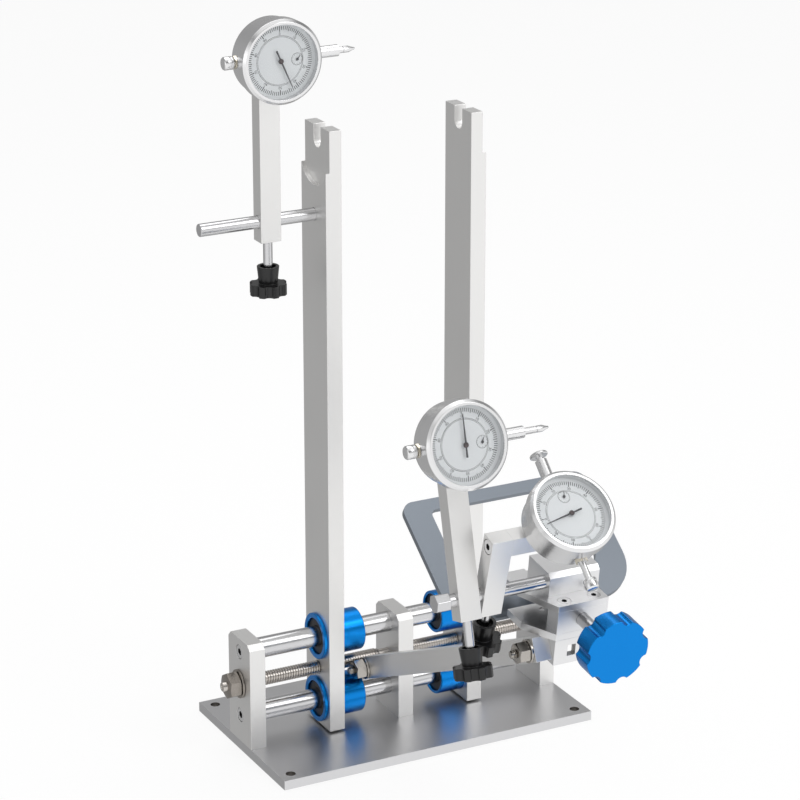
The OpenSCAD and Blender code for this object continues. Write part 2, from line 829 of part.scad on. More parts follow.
// The two flush screws of the top plate and the two that hold the hoop plate from below.
module carriage_screws() {
    hoop_screw_l = hoop_screw_head_h + hoop_t + bottom_plate_t - 0.5;
    color(chrome) on_carriage() {
        for (sx = [-1, 1]) translate([sx * plate_screw_x, plate_screw_y, -0.2]) mirror([0, 0, 1])
            socket_screw(plate_screw_head_h - 0.2, plate_screw_l, plate_screw_d, plate_screw_head_d);
        for (sx = [-1, 1])
            translate([sx * plate_screw_x, hoop_screw_y, bottom_z - hoop_t - hoop_screw_head_h])
                socket_screw(hoop_screw_head_h, hoop_screw_l, plate_screw_d, hoop_screw_head_d);
    }
}

// The slope's own frame: its origin on the bend, +Y up the slope, +Z square to the plate.
module on_hoop_slope() {
    translate([0, hoop_bend_y, bottom_z - hoop_t]) rotate([hoop_slope, 0, 0]) children();
}

module rounded_box_2d(x, y0, y1, r_low, r_high) {
    hull() {
        for (sx = [-1, 1]) {
            translate([sx * (x - r_low), y0 + r_low]) circle(r = r_low);
            translate([sx * (x - r_high), y1 - r_high]) circle(r = r_high);
        }
    }
}

// A flat foot under the bottom plate and a closed hoop that slopes up towards the wheel.
module hoop_plate() {
    color(hoop_grey) on_carriage() difference() {
        union() {
            box([-hoop_foot_x, hoop_foot_y, bottom_z - hoop_t], [hoop_foot_x, hoop_bend_y, bottom_z]);
            on_hoop_slope() linear_extrude(hoop_t) difference() {
                rounded_box_2d(hoop_w / 2, 0, hoop_l, hoop_low_r, hoop_high_r);
                rounded_box_2d(hoop_w / 2 - hoop_limb, hoop_limb, hoop_l - hoop_bar,
                    window_low_r, window_high_r);
            }
        }
        for (sx = [-1, 1]) translate([sx * plate_screw_x, hoop_screw_y, bottom_z - hoop_t - cut])
            cylinder(d = plate_screw_d, h = hoop_t + 2 * cut);
    }
}

// ---- Slider and adjuster ----

// The slider rides on the top plate, and its tongue reaches through the slot to the adjuster.
module slider_block() {
    w = carriage_w / 2;
    y0 = slider_y0;
    y1 = slider_y0 + slider_d;
    c = slider_chamfer;
    color(plain_alu) on_carriage() difference() {
        union() {
            translate([-w, 0, 0]) rotate([90, 0, 90]) linear_extrude(2 * w)
                polygon([[y0, 0], [y0, slider_h - c], [y0 + c, slider_h], [y1, slider_h], [y1, 0]]);
            box([-tongue_w / 2, tongue_y0, adjuster_z - 6], [tongue_w / 2, tongue_y0 + tongue_d, cut]);
        }
        translate([0, shaft_y, shaft_z]) x_rod(-w - cut, shaft_inset, shaft_d);
        translate([0, 0, adjuster_z])
            y_rod(tongue_y0 - cut, tongue_y0 + tongue_d + cut, adjuster_thread_d + 2 * run_gap);
        translate([lock_x, lock_y, -cut]) cylinder(d = lock_screw_d + 2 * run_gap, h = 8);
    }
}

// The knob under the top plate that locks the slider, on a slot in the plate.
module slider_lock_knob() {
    color(black) on_carriage() translate([lock_x, lock_y, -top_plate_t - side_gap]) {
        translate([0, 0, -lock_neck_l]) cylinder(d = lock_neck_d, h = lock_neck_l);
        translate([0, 0, -lock_neck_l]) notched_head(lock_head_d, lock_head_t, 6, 5, 1.2);
        translate([0, 0, -1]) cylinder(d = lock_screw_d, h = top_plate_t + side_gap + 7);
    }
}

module gauge_shaft() {
    x0 = slider_left - gauge_shaft_l;
    color(chrome) on_carriage() translate([0, shaft_y, shaft_z]) {
        x_rod(x0, shaft_inset, shaft_d);
        x_rod(x0, x0 + shaft_hex_l, shaft_hex_af / cos(30), 6);
    }
}

module adjuster_screw() {
    back = tongue_y0 + tongue_d + 6;
    color(chrome) on_carriage() translate([0, 0, adjuster_z]) {
        y_rod(-adjuster_l - adjuster_knob_t + 3, carriage_block_d, adjuster_d);
        y_rod(carriage_block_d, back, adjuster_thread_d);
        y_rod(carriage_block_d + 0.2, carriage_block_d + 0.2 + adjuster_collar_t, adjuster_d + 4);
    }
}

module adjuster_knob() {
    back = -adjuster_l;
    front = back - adjuster_knob_t;
    color(blue_alu) on_carriage() translate([0, 0, adjuster_z]) difference() {
        union() {
            translate([0, back, 0]) rotate([90, 0, 0])
                notched_head(adjuster_knob_d, adjuster_knob_t, 7, 9, 2.6);
            y_rod(back - cut, back + adjuster_hub_l, adjuster_hub_d);
        }
        y_rod(front + 3, back + adjuster_hub_l + cut, adjuster_d);
    }
}

// ---- Dial gauges ----
// In a dial's own frame the plunger's axis is X, its tip towards +X, and the face looks to -Y.

// Turned parts of a dial, drawn as outlines of radius and distance to the front.
module turned() {
    rotate([90, 0, 0]) rotate_extrude($fn = 96) children();
}

module dial_case(stem, with_lug) {
    floor_h = case_back + case_wall;
    color(chrome) difference() {
        union() {
            y_rod(-case_front, -case_back, case_d, 96);
            x_rod(0, case_d / 2 + stem, stem_d);
            x_rod(-case_d / 2 - collar_l, 0, collar_d);
            if (with_lug) {
                box([-lug_r, -case_back - cut, -lug_w / 2], [lug_r, lug_y, lug_w / 2]);
                translate([0, lug_y, -lug_w / 2]) cylinder(r = lug_r, h = lug_w);
            } else {
                y_rod(-case_back - cut, -case_back + arm_t, stud_d);
            }
        }
        y_rod(-case_front - cut, -floor_h, case_d - 2 * case_wall, 96);
        x_rod(-2 * case_d, 2 * case_d, plunger_d + 2 * run_gap);
        if (with_lug)
            translate([0, lug_y, -lug_w]) cylinder(d = lug_stud_d, h = 2 * lug_w);
    }
    color(plain_alu) difference() {
        union() {
            y_rod(-face_y, -floor_h + 0.5, cap_d);
            y_rod(-face_y - face_t, -face_y, 2 * plate_r, 96);
        }
        y_rod(-face_y - cut, -floor_h + cut, pin_d + 2 * run_gap);
        translate([counter_x, 0, 0])
            y_rod(-face_y - face_t - cut, -face_y + cut, counter_pin_d + 2 * run_gap);
        x_rod(-case_d, case_d, plunger_d + 2 * side_gap);
    }
}

module dial_bezel() {
    r_out = bezel_d / 2;
    r_in = case_d / 2 - bezel_wall;
    r_case = case_d / 2 + run_gap;
    h0 = case_front - skirt_l;
    h1 = case_front + run_gap;
    color(chrome) turned() polygon([
        [r_case, h0], [r_out - 0.5, h0], [r_out, h0 + 0.5], [r_out, bezel_front - 1.8],
        [r_out - 1.8, bezel_front], [r_in - lip_w, bezel_front], [r_in - lip_w, bezel_front - lip_t],
        [r_in, bezel_front - lip_t], [r_in, h1], [r_case, h1]
    ]);
}

// The graduated ring turns with the bezel round the fixed middle of the face.
module dial_ring() {
    r_in = plate_r + ring_gap;
    color("white") turned() translate([r_in, face_y]) square([case_d / 2 - bezel_wall - r_in, face_t]);
}

module dial_crystal() {
    color([0.85, 0.92, 0.95, 0.25]) turned() translate([0, crystal_y])
        square([case_d / 2 - bezel_wall, crystal_t]);
}

// A hand on its pin: the long end points up at angle 0, and a larger angle turns it clockwise.
module hand(length, tail, width, t, angle, from, pin, pin_back) {
    color(black) rotate([0, angle, 0]) {
        translate([0, -from, 0]) rotate([90, 0, 0]) linear_extrude(t) {
            polygon([[-width / 2, 0], [-width / 6, length], [width / 6, length], [width / 2, 0]]);
            polygon([[-width / 3, 0], [-width / 2, -tail], [width / 2, -tail], [width / 3, 0]]);
            circle(r = 1.5 * width);
        }
        y_rod(-from - t, -pin_back, pin);
    }
}

module dial_pointer(angle) {
    hand(pointer_l, 8, 1.2, 0.6, angle, pointer_y, pin_d, plunger_d / 2 + 1);
}

module dial_counter(angle) {
    translate([counter_x, 0, 0]) hand(3.2, 1.2, 0.6, 0.4, angle, counter_y, counter_pin_d, face_y - 1);
}

// A plunger with its cap at the left: a pointed tip, or a flat contact of diameter flat_d.
module dial_plunger(reach, flat_d, gap) {
    cap_x = -case_d / 2 - collar_l - gap;
    rod_end = flat_d > 0 ? reach : reach - tip_l;
    color(chrome) {
        x_rod(cap_x - cap_l, rod_end, plunger_d);
        x_rod(cap_x - cap_l, cap_x, cap_d);
        if (flat_d > 0)
            x_rod(reach - 2, reach, flat_d);
        else
            translate([rod_end - cut, 0, 0]) rotate([0, 90, 0])
                cylinder(d1 = plunger_d - 0.2, d2 = 1, h = tip_l + cut);
    }
}

module rotor_dial_case() { on_rotor_dial() dial_case(stem_l, false); }
module rotor_dial_bezel() { on_rotor_dial() dial_bezel(); }
module rotor_dial_face() { on_rotor_dial() dial_ring(); }
module rotor_dial_crystal() { on_rotor_dial() dial_crystal(); }
module rotor_dial_pointer() { on_rotor_dial() dial_pointer(156); }
module rotor_dial_counter() { on_rotor_dial() dial_counter(40); }
module rotor_dial_plunger() { on_rotor_dial() dial_plunger(rotor_reach, 0, cap_gap); }

module lateral_dial_case() { on_lateral_dial() dial_case(stem_l, false); }
module lateral_dial_bezel() { on_lateral_dial() dial_bezel(); }
module lateral_dial_face() { on_lateral_dial() dial_ring(); }
module lateral_dial_crystal() { on_lateral_dial() dial_crystal(); }
module lateral_dial_pointer() { on_lateral_dial() dial_pointer(0); }
module lateral_dial_counter() { on_lateral_dial() dial_counter(20); }
module lateral_dial_plunger() { on_lateral_dial() dial_plunger(lateral_reach, 0, cap_gap); }

module radial_dial_case() { on_radial_dial() dial_case(short_stem_l, true); }
module radial_dial_bezel() { on_radial_dial() dial_bezel(); }
module radial_dial_face() { on_radial_dial() dial_ring(); }
module radial_dial_crystal() { on_radial_dial() dial_crystal(); }
module radial_dial_pointer() { on_radial_dial() dial_pointer(-12); }
module radial_dial_counter() { on_radial_dial() dial_counter(110); }
module radial_dial_plunger() { on_radial_dial() dial_plunger(contact_reach, contact_d, pressed); }

base_plate();
frame_screws();
left_block();
middle_block();
right_block();
guide_rods();
lead_screw();
drive_nut();
left_upright();
right_upright();
left_housings();
right_housings();
left_bushings();
right_bushings();
rotor_shaft();
rotor_arm();
rotor_clamp_screw();
rotor_clamp_knob();
pivot_bolt();
swing_arm();
arm_end_bolt();
carriage_bracket();
carriage_block();
carriage_plates();
carriage_screws();
hoop_plate();
adjuster_screw();
adjuster_knob();
slider_block();
slider_lock_knob();
gauge_shaft();
lateral_arm();
lateral_clamp_screw();
lateral_clamp_knob();
radial_arm();
radial_clamp_screw();
radial_clamp_knob();
radial_cross_bar();
radial_joint_screw();
rotor_dial_case();
rotor_dial_bezel();
rotor_dial_face();
rotor_dial_crystal();
rotor_dial_pointer();
rotor_dial_counter();
rotor_dial_plunger();
lateral_dial_case();
lateral_dial_bezel();
lateral_dial_face();
lateral_dial_crystal();
lateral_dial_pointer();
lateral_dial_counter();
lateral_dial_plunger();
radial_dial_case();
radial_dial_bezel();
radial_dial_face();
radial_dial_crystal();
radial_dial_pointer();
radial_dial_counter();
radial_dial_plunger();
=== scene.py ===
"""Looks of a bicycle wheel truing stand: soft edges, threads, dials and finishes on the frame."""

import json
from math import ceil, cos, pi, radians, sin, tau

import bmesh
import bpy
from mathutils import Matrix, Vector

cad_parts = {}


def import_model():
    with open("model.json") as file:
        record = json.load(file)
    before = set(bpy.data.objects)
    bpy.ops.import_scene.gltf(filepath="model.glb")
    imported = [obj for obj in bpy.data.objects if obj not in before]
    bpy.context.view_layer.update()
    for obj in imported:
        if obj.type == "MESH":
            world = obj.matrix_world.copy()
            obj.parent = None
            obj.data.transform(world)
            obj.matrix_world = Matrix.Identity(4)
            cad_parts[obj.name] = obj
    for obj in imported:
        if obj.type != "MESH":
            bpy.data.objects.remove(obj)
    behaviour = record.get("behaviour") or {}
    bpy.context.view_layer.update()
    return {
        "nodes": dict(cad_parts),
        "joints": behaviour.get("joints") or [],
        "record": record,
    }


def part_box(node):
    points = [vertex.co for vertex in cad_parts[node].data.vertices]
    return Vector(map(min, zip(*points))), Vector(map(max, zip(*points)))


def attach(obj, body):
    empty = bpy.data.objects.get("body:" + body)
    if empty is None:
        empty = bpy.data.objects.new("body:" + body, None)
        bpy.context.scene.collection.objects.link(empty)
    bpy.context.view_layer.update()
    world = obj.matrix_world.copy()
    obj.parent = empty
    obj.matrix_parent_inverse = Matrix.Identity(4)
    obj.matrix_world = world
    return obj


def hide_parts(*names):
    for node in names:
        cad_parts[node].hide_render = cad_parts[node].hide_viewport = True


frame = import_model()
nodes = frame["nodes"]
joints = {joint["name"]: joint for joint in frame["joints"]}
body_of_node = {
    node: body
    for body, members in frame["record"]["behaviour"]["bodies"].items()
    for node in members
}

MM = 0.001
DIALS = ("rotor", "lateral", "radial")
X, Y, Z = Vector((1, 0, 0)), Vector((0, 1, 0)), Vector((0, 0, 1))


# ---- Finishes ----


class Value:
    """A number socket, so that shader maths is written as Python expressions."""

    def __init__(self, finish, socket):
        self.finish = finish
        self.socket = socket

    def math(self, operation, *numbers):
        made = self.finish.node("Math", {"operation": operation})
        for place, number in enumerate(numbers):
            self.finish.feed(made.inputs[place], number)
        return Value(self.finish, made.outputs[0])

    def __add__(self, other):
        return self.math("ADD", self, other)

    def __sub__(self, other):
        return self.math("SUBTRACT", self, other)

    def __rsub__(self, other):
        return self.math("SUBTRACT", other, self)

    def __mul__(self, other):
        return self.math("MULTIPLY", self, other)

    __radd__ = __add__
    __rmul__ = __mul__

    def smooth(self, low, high):
        """0 below low, 1 above high, and a soft step between."""
        made = self.finish.node("MapRange", {"interpolation_type": "SMOOTHSTEP"})
        for name, number in {"Value": self, "From Min": low, "From Max": high}.items():
            self.finish.feed(made.inputs[name], number)
        return Value(self.finish, made.outputs["Result"])


class Finish:
    """A node tree under construction: a material's or the world's."""

    def __init__(self, owner):
        owner.use_nodes = True
        self.owner = owner
        self.tree = owner.node_tree

    def feed(self, socket, value):
        if isinstance(value, Value):
            self.tree.links.new(value.socket, socket)
        elif isinstance(value, bpy.types.NodeSocket):
            self.tree.links.new(value, socket)
        else:
            socket.default_value = value

    def node(self, kind, settings={}, inputs={}):
        made = self.tree.nodes.new("ShaderNode" + kind)
        for name, value in settings.items():
            setattr(made, name, value)
        for name, value in inputs.items():
            self.feed(made.inputs[name], value)
        return made

    def place(self, stretch=(1, 1, 1)):
        """The point on the surface in metres at rest, squeezed by stretch."""
        at = self.node("TexCoord").outputs["Object"]
        made = self.node("VectorMath", {"operation": "MULTIPLY"}, {0: at, 1: stretch})
        return made.outputs["Vector"]

    def noise(self, per_metre, detail=2, stretch=(1, 1, 1)):
        inputs = {"Vector": self.place(stretch), "Scale": per_metre, "Detail": detail}
        return Value(self, self.node("TexNoise", {}, inputs).outputs["Fac"])

    def mix(self, factor, low, high):
        """A colour between low and high."""
        made = self.node("Mix", {"data_type": "RGBA"})
        for place, value in {0: factor, 6: low, 7: high}.items():
            self.feed(made.inputs[place], value)
        return made.outputs[2]

    def bump(self, height, depth, strength=1.0):
        inputs = {"Height": height, "Distance": depth, "Strength": strength}
        return self.node("Bump", {}, inputs).outputs["Normal"]


def surface(name, **inputs):
    """A new material with its Principled shader's sockets set; returns its Finish."""
    finish = Finish(bpy.data.materials.new(name))
    finish.shader = finish.tree.nodes["Principled BSDF"]
    for socket, value in inputs.items():
        finish.feed(finish.shader.inputs[socket.replace("_", " ")], value)
    return finish


def colour(red, green, blue):
    return (red, green, blue, 1.0)


def metal(name, tone, rough, grain=0.0, per_metre=9000, stretch=(1, 1, 1), shade=0.06, spread=0.05):
    """A metal whose tone and roughness drift over the surface, with a fine grain in its bump."""
    finish = surface(name, Metallic=1.0)
    drift = finish.noise(16, 3)
    fine = finish.noise(per_metre, 3, stretch)
    darker = colour(*[channel * (1 - shade) for channel in tone])
    tint = finish.mix(drift * 0.7 + fine * 0.3, darker, colour(*tone))
    finish.feed(finish.shader.inputs["Base Color"], tint)
    uneven = rough + (drift - 0.5) * spread + (fine - 0.5) * spread
    finish.feed(finish.shader.inputs["Roughness"], uneven)
    if grain:
        finish.feed(finish.shader.inputs["Normal"], finish.bump(fine, grain))
    return finish


def blasted_aluminium():
    return metal("blasted_aluminium", (0.835, 0.83, 0.82), 0.42, grain=0.004 * MM, per_metre=6500)


def satin_aluminium():
    return metal("satin_aluminium", (0.80, 0.80, 0.805), 0.34, grain=0.002 * MM, per_metre=7000)


def base_aluminium():
    return metal("base_aluminium", (0.66, 0.66, 0.67), 0.36, grain=0.002 * MM, per_metre=7000)


# Painted shade: a dark aluminium for the walls of holes, standing in for the shade inside them.
def drilled_aluminium():
    return metal("drilled_aluminium", (0.26, 0.245, 0.23), 0.45, per_metre=4000, shade=0.2)


def polished_steel():
    """Hard chrome on ground rods: faint lines run along the rod."""
    tone = (0.63, 0.63, 0.64)
    return metal("polished_steel", tone, 0.20, per_metre=2500, stretch=(0.05, 1, 1), shade=0.05)


def turned_steel():
    tone = (0.60, 0.565, 0.53)
    return metal("turned_steel", tone, 0.27, grain=0.002 * MM, per_metre=5000, shade=0.12)


def worn_steel():
    """Bare nuts and bolt heads, with darker patches."""
    tone = (0.56, 0.53, 0.49)
    return metal("worn_steel", tone, 0.24, grain=0.004 * MM, per_metre=900, shade=0.4, spread=0.18)


def oiled_steel():
    """The drive hexagon, handled and oiled."""
    tone = (0.40, 0.365, 0.33)
    return metal(
        "oiled_steel", tone, 0.22, grain=0.004 * MM, per_metre=900, shade=0.45, spread=0.18
    )


def dark_chrome():
    return metal("dark_chrome", (0.42, 0.42, 0.43), 0.17, per_metre=3000, shade=0.15)


def satin_chrome():
    return metal("satin_chrome", (0.79, 0.79, 0.795), 0.24, per_metre=5000, shade=0.04)


def blue_anodised():
    tone = (0.003, 0.24, 0.73)
    finish = metal("blue_anodised", tone, 0.27, grain=0.001 * MM, per_metre=6000, shade=0.12)
    finish.feed(finish.shader.inputs["Coat Weight"], 0.1)
    finish.feed(finish.shader.inputs["Coat Roughness"], 0.12)
    return finish


def hoop_anodised():
    tone = (0.27, 0.30, 0.34)
    return metal("hoop_anodised", tone, 0.36, grain=0.003 * MM, per_metre=6000, shade=0.10)


def brassy():
    return metal("brassy", (0.78, 0.73, 0.62), 0.22, per_metre=4000)


def black_plastic():
    finish = surface("black_plastic", Base_Color=colour(0.006, 0.006, 0.0065))
    fine = finish.noise(2600, 3)
    finish.feed(finish.shader.inputs["Roughness"], 0.24 + fine * 0.12)
    finish.feed(finish.shader.inputs["Normal"], finish.bump(fine, 0.006 * MM))
    return finish


def bushing_plastic():
    finish = surface("bushing_plastic", Base_Color=colour(0.02, 0.02, 0.022))
    finish.feed(finish.shader.inputs["Roughness"], 0.42 + finish.noise(1500) * 0.15)
    return finish


def dial_white():
    finish = surface("dial_white")
    drift = finish.noise(60, 2)
    tint = finish.mix(drift, colour(0.81, 0.82, 0.84), colour(0.87, 0.88, 0.89))
    finish.feed(finish.shader.inputs["Base Color"], tint)
    finish.feed(finish.shader.inputs["Roughness"], 0.38 + drift * 0.1)
    return finish


def socket_black():
    """Painted shade inside a socket screw's hexagon, standing in for its dark hollow."""
    finish = surface("socket_black", Base_Color=colour(0.015, 0.015, 0.016), Metallic=0.3)
    finish.feed(finish.shader.inputs["Roughness"], 0.5 + finish.noise(900) * 0.2)
    return finish


def dial_ink():
    finish = surface("dial_ink", Base_Color=colour(0.02, 0.02, 0.025))
    finish.feed(finish.shader.inputs["Roughness"], 0.4 + finish.noise(900) * 0.2)
    return finish


def hand_red():
    finish = surface("hand_red", Base_Color=colour(0.045, 0.02, 0.02), Metallic=0.3)
    finish.feed(finish.shader.inputs["Roughness"], 0.3 + finish.noise(900) * 0.2)
    return finish


def crystal():
    """A thin clear cover: it lets the face show and mirrors the room by its angle."""
    finish = surface("crystal", Base_Color=colour(0.95, 0.97, 1.0), Metallic=1.0, Roughness=0.03)
    slant = Value(finish, finish.node("LayerWeight", {}, {"Blend": 0.5}).outputs["Facing"])
    gloss = 0.03 + slant * slant * slant * 0.5
    clear = finish.node("BsdfTransparent", {}, {"Color": colour(0.985, 0.99, 0.99)})
    blend = finish.node("MixShader")
    for place, value in enumerate((gloss, clear.outputs[0], finish.shader.outputs[0])):
        finish.feed(blend.inputs[place], value)
    output = finish.tree.nodes["Material Output"]
    finish.feed(output.inputs["Surface"], blend.outputs[0])
    return finish


for bare in list(bpy.data.materials):
    bpy.data.materials.remove(bare)
FINISHES = {
    make.__name__: make().owner
    for make in (
        blasted_aluminium,
        satin_aluminium,
        base_aluminium,
        drilled_aluminium,
        polished_steel,
        turned_steel,
        worn_steel,
        oiled_steel,
        dark_chrome,
        satin_chrome,
        blue_anodised,
        hoop_anodised,
        brassy,
        black_plastic,
        bushing_plastic,
        dial_white,
        socket_black,
        dial_ink,
        hand_red,
        crystal,
    )
}


# ---- Making pieces ----


def ride_with(piece, node, finish, stand_in=True):
    """Puts a finished piece on a CAD node's body, and hides the node if the piece stands for it."""
    piece.data.materials.clear()
    piece.data.materials.append(FINISHES[finish])
    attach(piece, body_of_node[node])
    if stand_in:
        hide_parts(node)
    return piece


def new_piece(name, mesh):
    piece = bpy.data.objects.new(name, mesh)
    bpy.context.scene.collection.objects.link(piece)
    return piece


def mesh_from(name, verts, faces, smooth=True):
    mesh = bpy.data.meshes.new(name)
    mesh.from_pydata([tuple(v) for v in verts], [], faces)
    mesh.update()
    bm = bmesh.new()
    bm.from_mesh(mesh)
    bmesh.ops.remove_doubles(bm, verts=bm.verts, dist=1e-7)
    bmesh.ops.recalc_face_normals(bm, faces=bm.faces)
    bm.to_mesh(mesh)
    bm.free()
    if smooth:
        shade(mesh)
    return mesh


def shade(mesh, angle=35):
    """Smooth shading, broken at edges sharper than angle."""
    bm = bmesh.new()
    bm.from_mesh(mesh)
    for face in bm.faces:
        face.smooth = True
    for edge in bm.edges:
        edge.smooth = len(edge.link_faces) == 2 and edge.calc_face_angle(0) < radians(angle)
    bm.to_mesh(mesh)
    bm.free()


def bake_modifiers(piece):
    """Replaces a piece's mesh by what its modifiers make of it."""
    evaluated = piece.evaluated_get(bpy.context.evaluated_depsgraph_get())
    mesh = bpy.data.meshes.new_from_object(evaluated)
    piece.modifiers.clear()
    piece.data = mesh
    return piece


def soft_edges(node, finish, width=0.35 * MM, rounds=2, corner=32):
    """The node's own shape with its sharp edges broken, as on a deburred part."""
    piece = new_piece(node + ".soft", nodes[node].data.copy())
    bm = bmesh.new()
    bm.from_mesh(piece.data)
    bmesh.ops.remove_doubles(bm, verts=bm.verts, dist=2e-6)
    bmesh.ops.dissolve_limit(bm, angle_limit=radians(0.4), verts=bm.verts, edges=bm.edges)
    for face in bm.faces:
        face.smooth = True
    for edge in bm.edges:
        edge.smooth = True
    bm.to_mesh(piece.data)
    bm.free()
    if piece.data.attributes.get("custom_normal"):
        piece.data.attributes.remove(piece.data.attributes["custom_normal"])
    bevel = piece.modifiers.new("soft edges", "BEVEL")
    bevel.width = width
    bevel.segments = rounds
    bevel.limit_method = "ANGLE"
    bevel.angle_limit = radians(corner)
    bevel.use_clamp_overlap = True
    bevel.harden_normals = True
    bevel.miter_outer = "MITER_ARC"
    bake_modifiers(piece)
    return ride_with(piece, node, finish)


def loose_parts(bm):
    """The separate shells of a mesh, each as its list of faces."""
    left = set(bm.faces)
    parts = []
    while left:
        found = [left.pop()]
        for face in found:
            for edge in face.edges:
                for other in edge.link_faces:
                    if other in left:
                        left.remove(other)
                        found.append(other)
        parts.append(found)
    return parts


def line_hole(faces, centre, axis, radius):
    """Gives the faces that lie wholly within radius of an axis the piece's second material, which
    holds the painted shade of a hole or socket.
    """
    for face in faces:
        if max((v.co - centre).cross(axis).length for v in face.verts) < radius:
            face.material_index = 1


def paint_hole_shade(piece):
    """Gives the walls of the four drilled holes a dark colour that paints the shade inside them."""
    holes = next(row for row in frame["record"]["mounts"] if row["name"] == "bench_holes")["dims"]
    slack = 0.1
    piece.data.materials.append(FINISHES["drilled_aluminium"])
    bm = bmesh.new()
    bm.from_mesh(piece.data)
    for side in (-0.5, 0.5):
        for end in (-0.5, 0.5):
            centre = Vector((side * holes["spacing_x_mm"], end * holes["spacing_y_mm"], 0)) * MM
            line_hole(bm.faces, centre, Z, (holes["hole_r_mm"] + slack) * MM)
    bm.to_mesh(piece.data)
    bm.free()


def paint_socket_shade(piece, radius):
    """Gives the faces within radius of each screw's axis a painted shade, standing in for the dark
    hollow of the socket.
    """
    piece.data.materials.append(FINISHES["socket_black"])
    bm = bmesh.new()
    bm.from_mesh(piece.data)
    for part in loose_parts(bm):
        spots = [v.co for face in part for v in face.verts]
        low = Vector([min(spot[i] for spot in spots) for i in range(3)])
        high = Vector([max(spot[i] for spot in spots) for i in range(3)])
        size = high - low
        axis = (X, Y, Z)[max(range(3), key=lambda i: size[i])]
        line_hole(part, (low + high) / 2, axis, radius)
    bm.to_mesh(piece.data)
    bm.free()


def frame_on(origin, axis, up=None):
    """A matrix that takes local Z to axis, local X near to up and the local origin to origin."""
    axis = Vector(axis).normalized()
    up = Vector(up) if up is not None else (X if abs(axis.x) < 0.9 else Y)
    side = (up - axis * up.dot(axis)).normalized()
    turn = Matrix((side, axis.cross(side), axis)).transposed().to_4x4()
    return Matrix.Translation(origin) @ turn


def turned(name, profile, place, steps=72):
    """A lathe-turned mesh from (radius, height) points about local Z."""
    verts, faces = [], []
    for radius, height in profile:
        for i in range(steps):
            verts.append((radius * cos(tau * i / steps), radius * sin(tau * i / steps), height))
    for ring in range(len(profile) - 1):
        for i in range(steps):
            a, b = ring * steps + i, ring * steps + (i + 1) % steps
            faces.append((a, b, b + steps, a + steps))
    return mesh_from(name, [place @ Vector(v) for v in verts], faces)


# ---- Screw threads and nuts ----

# Along one pitch: how far, and 1 on the crest or 0 at the root.
THREAD_CORNERS = ((0.0, 1), (0.22, 1), (0.42, 0), (0.80, 0))
# The round end face of a nut, as a share of its width over the flats.
END_FACE = 0.93


def thread(name, place, length, outer, pitch, depth, hand=1, steps=40, lead_in=1.5):
    """A screw thread along local Z with flat crests and roots, fading out at both ends.

    hand is 1 for a right-hand thread and -1 for a left-hand one; lead_in is the fade in pitches.
    """
    verts, faces = [], []
    turns = ceil(length / pitch) + 1
    row = len(THREAD_CORNERS)
    count = turns * steps + 1
    for i in range(count):
        angle = hand * tau * i / steps
        for part, crest in THREAD_CORNERS:
            height = (i / steps + part - 1) * pitch
            inside = max(0, min(height, length - height))
            fade = min(1, inside / lead_in / pitch)
            radius = outer - depth + depth * crest * fade
            height = min(max(height, 0), length)
            verts.append((radius * cos(angle), radius * sin(angle), height))
    for i in range(count - 1):
        for part in range(row - 1):
            a = i * row + part
            faces.append((a, a + 1, a + row + 1, a + row))
        if i + steps < count - 1:
            a = i * row + row - 1
            b = (i + steps) * row
            faces.append((a, b, b + row, a + row))
    mesh = mesh_from(name, [place @ Vector(v) for v in verts], faces, smooth=False)
    shade(mesh, 28)
    return mesh


def hexagon(name, place, across, height, bore, chamfer=0.5, steps=96):
    """A hexagon nut from local Z 0 to height; both ends slope down by chamfer to its corners."""
    flat = across / 2

    def reach(angle):
        return flat / cos((angle + pi / 6) % (pi / 3) - pi / 6)

    inner = END_FACE * flat
    verts, faces = [], []
    for i in range(steps):
        angle = tau * i / steps
        far = reach(angle)
        drop = (far - inner) * chamfer
        for radius, level in (
            (bore, 0),
            (inner, 0),
            (far, drop),
            (far, height - drop),
            (inner, height),
            (bore, height),
        ):
            verts.append(place @ Vector((radius * cos(angle), radius * sin(angle), level)))
    for i in range(steps):
        for part in range(5):
            a, b = i * 6 + part, (i + 1) % steps * 6 + part
            faces.append((a, b, b + 1, a + 1))
    return mesh_from(name, verts, faces)


def joined(name, meshes):
    """One piece from several meshes."""
    bm = bmesh.new()
    for mesh in meshes:
        bm.from_mesh(mesh)
        bpy.data.meshes.remove(mesh)
    mesh = bpy.data.meshes.new(name)
    bm.to_mesh(mesh)
    bm.free()
    return new_piece(name, mesh)


def disc_with_edge(name, place, radius, height, bore, edge=0.3 * MM):
    """A washer from local Z 0 to height with its outer edges broken."""
    profile = [(bore, 0), (radius - edge, 0), (radius, edge)]
    profile += [(radius, height - edge), (radius - edge, height), (bore, height)]
    return turned(name, profile, place)


# ---- Stand ----

# Faces nearer than this to a screw's axis are its socket's, and get the socket's painted shade.
FRAME_SOCKET, CARRIAGE_SOCKET, JOINT_SOCKET = 2.75 * MM, 1.85 * MM, 2.3 * MM


